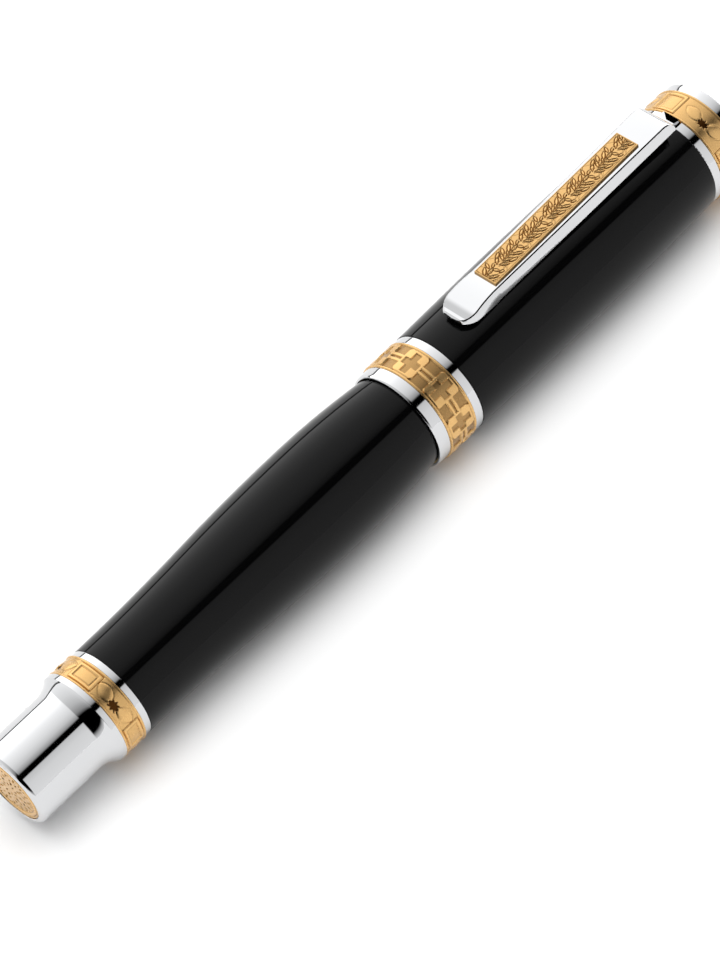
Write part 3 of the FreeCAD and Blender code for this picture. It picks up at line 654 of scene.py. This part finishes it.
def medallion_piece():
    """The tail's disc: rings and a rosette of leaves and beads, raised toward the tail."""
    node = "end_medallion"
    low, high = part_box(node)
    radius, deep = high.y, 0.3 * MM
    rings, around = 96, 288
    r, angle = np.meshgrid(np.linspace(0.02, 1, rings) * radius, np.arange(around) * TURN / around,
                           indexing="ij")
    tall = np.full_like(r, 0.82)
    for count, place, half_long, half_wide, turned_by in PITS:
        arc = nearest(angle, turned_by, count) * r
        pit = leaf_height(r - place * MM, arc, half_long * MM, half_wide * MM)
        tall = tall - 0.75 * smooth_step(pit, 0.4, 0.6)
    for place, half, level in ((4.12, 0.07, 0.45), (4.42, 0.16, 1.0), (4.74, 0.07, 0.4)):
        ring = smooth_step(half * MM - np.abs(r - place * MM), 0, EDGE)
        tall = tall * (1 - ring) + level * ring
    tall = np.clip(tall, 0, 1)
    x = low.x + 0.04 * MM + deep * (1 - tall)
    x[-1] += LET_DOWN
    vertices = np.stack([x, r * np.sin(angle), r * np.cos(angle)], -1).reshape(-1, 3)
    back = [(high.x, radius * math.sin(TURN * k / around), radius * math.cos(TURN * k / around))
            for k in range(around)]
    vertices = np.concatenate([vertices, back, [(x[0].mean(), 0, 0)]])
    faces = [(i * around + k, (i + 1) * around + k, (i + 1) * around + (k + 1) % around,
              i * around + (k + 1) % around) for i in range(rings) for k in range(around)]
    faces += [(len(vertices) - 1, k, (k + 1) % around) for k in range(around)]
    faces.append(tuple(range(rings * around, (rings + 1) * around)))
    piece = mesh_piece("end_medallion_relief", vertices, faces, 60)
    outward(piece)
    # painted shade in the disc's pits and grooves, none on its back rim or its centre point
    paint_pit_shade(piece, np.concatenate([0.8 * (1 - tall).ravel(), np.zeros(around + 1)]))
    return in_place_of(piece, node)


for turned_node in ("end_cap", "end_ring", "barrel_shell", "section_ring", "grip_section", "nose_cone",
                    "lip_ring", "band_ring", "cap_shell", "cap_crown", "ball_socket", "tip_holder",
                    "refill_tube", "section_seal", "inner_cap", "cap_liner"):
    refined(turned_node)
relief_band("end_band", frames_and_leaves(0.0), node_bore("end_band"))
relief_band("top_band", frames_and_leaves(math.radians(18)), node_bore("top_band"))
relief_band("cross_band", plates_and_links, node_bore("cross_band"), 900, 64)
clip_piece()
plaque_piece()
medallion_piece()

for node, cad_piece in frame["nodes"].items():
    finish_with(cad_piece, SLOT_OF[node])


# ---- studio ----

# angle about the pen's axis from straight up, positive away from the camera's side, and brightness
STRIPS = [(-180, 1.05), (-95, 1.05), (-58, 0.95), (-44, 0.82), (-39.5, 0.74), (-38.5, 0.0), (-25.5, 0.0),
          (-22, 0.4), (-10, 0.82), (2, 1.05), (14, 1.2), (26, 1.35), (38, 1.6), (50, 1.75), (62, 1.9),
          (74, 2.0), (83, 1.95), (83.8, 0.03), (88, 0.03), (89, 1.0), (179, 1.05)]
STRIPS_PAST_TAIL = [(-180, 0.95), (-92, 0.95), (-82, 0.5), (-74, 0.0), (-22, 0.0), (-12, 0.35), (10, 0.7),
                    (40, 1.0), (83, 1.3), (83.8, 0.03), (88, 0.03), (89, 0.95), (179, 0.95)]
# the reflected direction's x between which the second set gives way to the first
STRIP_ENDS = (-0.14, -0.04)
BRIGHTEST = 2.0


def math_node(tree, operation, *inputs):
    """A maths node whose inputs are numbers or other nodes' outputs."""
    node = tree.nodes.new("ShaderNodeMath")
    node.operation = operation
    for socket, level in zip(node.inputs, inputs):
        if isinstance(level, (int, float)):
            socket.default_value = level
        else:
            tree.links.new(level, socket)
    return node.outputs["Value"]


def strip_ramp(tree, place, strips):
    """The strips' brightness against the angle about the pen's axis, which place gives from 0 to 1."""
    ramp = tree.nodes.new("ShaderNodeValToRGB")
    tree.links.new(place, ramp.inputs["Fac"])
    while len(ramp.color_ramp.elements) > 1:
        ramp.color_ramp.elements.remove(ramp.color_ramp.elements[-1])
    for index, (degrees, level) in enumerate(strips):
        spot = (degrees + 180) / 360
        element = ramp.color_ramp.elements[0] if index == 0 else ramp.color_ramp.elements.new(spot)
        element.position = spot
        element.color = (level / BRIGHTEST,) * 3 + (1,)
    return ramp.outputs["Color"]


def studio_light():
    """Long soft strips parallel to the pen for reflections, a soft dome overhead, plain white behind."""
    world = bpy.data.worlds.new("studio")
    bpy.context.scene.world = world
    world.use_nodes = True
    world.cycles.sampling_method = "NONE"
    tree = world.node_tree
    tree.nodes.clear()
    where = tree.nodes.new("ShaderNodeTexCoord")
    split = tree.nodes.new("ShaderNodeSeparateXYZ")
    tree.links.new(where.outputs["Generated"], split.inputs["Vector"])
    angle = math_node(tree, "ARCTAN2", split.outputs["Y"], split.outputs["Z"])
    place = math_node(tree, "MULTIPLY_ADD", angle, 1 / TURN, 0.5)
    ends = tree.nodes.new("ShaderNodeMapRange")
    ends.interpolation_type = "SMOOTHSTEP"
    ends.inputs["From Min"].default_value, ends.inputs["From Max"].default_value = STRIP_ENDS
    tree.links.new(split.outputs["X"], ends.inputs["Value"])
    strips = tree.nodes.new("ShaderNodeMix")
    strips.data_type = "RGBA"
    tree.links.new(ends.outputs["Result"], strips.inputs["Factor"])
    tree.links.new(strip_ramp(tree, place, STRIPS_PAST_TAIL), strips.inputs["A"])
    tree.links.new(strip_ramp(tree, place, STRIPS), strips.inputs["B"])
    reflected = tree.nodes.new("ShaderNodeBackground")
    reflected.inputs["Strength"].default_value = BRIGHTEST
    tree.links.new(strips.outputs["Result"], reflected.inputs["Color"])
    overhead = math_node(tree, "POWER", math_node(tree, "MAXIMUM", split.outputs["Z"], 0.0), 6.0)
    dome = tree.nodes.new("ShaderNodeBackground")
    tree.links.new(math_node(tree, "MULTIPLY_ADD", overhead, 3.9, 0.3), dome.inputs["Strength"])
    plain = tree.nodes.new("ShaderNodeBackground")
    seen = tree.nodes.new("ShaderNodeLightPath")
    out = tree.nodes.new("ShaderNodeOutputWorld")
    plain.inputs["Color"].default_value = dome.inputs["Color"].default_value = (1, 1, 1, 1)
    shown = dome
    for ray, light in (("Is Glossy Ray", reflected), ("Is Camera Ray", plain)):
        mix = tree.nodes.new("ShaderNodeMixShader")
        tree.links.new(seen.outputs[ray], mix.inputs["Fac"])
        tree.links.new(shown.outputs[0], mix.inputs[1])
        tree.links.new(light.outputs[0], mix.inputs[2])
        shown = mix
    tree.links.new(shown.outputs[0], out.inputs["Surface"])


def floor():
    """A plain pale sheet under the pen."""
    half, low = 1.5, cad_low.z - 0.02 * MM
    corners = [(-half, -half, low), (half, -half, low), (half, half, low), (-half, half, low)]
    sheet = mesh_piece("floor", corners, [(0, 1, 2, 3)])
    material, tree, shader = principled("paper_white", Roughness=0.9)
    shader.inputs["Specular IOR Level"].default_value = 0.0
    mixed_colour(tree, shader, noise_of(tree, 30), (0.90, 0.90, 0.90), (0.905, 0.905, 0.905))
    sheet.data.materials.append(material)


def camera():
    """A long lens, above and beside the tail, tipped so that the pen runs from corner to corner."""
    lens = bpy.data.cameras.new("camera")
    lens.sensor_width = 36
    lens.lens = 138.7
    eye = bpy.data.objects.new("camera", lens)
    bpy.context.scene.collection.objects.link(eye)
    eye.location = (-0.11448, -0.25223, 0.38107)
    azimuth, elevation, roll = map(math.radians, (35.382, 51.220, -14.555))
    look = Matrix.Rotation(-azimuth, 4, "Z") @ Matrix.Rotation(math.pi / 2 - elevation, 4, "X")
    eye.matrix_world = Matrix.Translation(eye.location) @ look @ Matrix.Rotation(roll, 4, "Z")
    lens.clip_start, lens.clip_end = 0.01, 20
    bpy.context.scene.camera = eye


studio_light()
floor()
camera()
bpy.context.scene.view_settings.view_transform = "Standard"
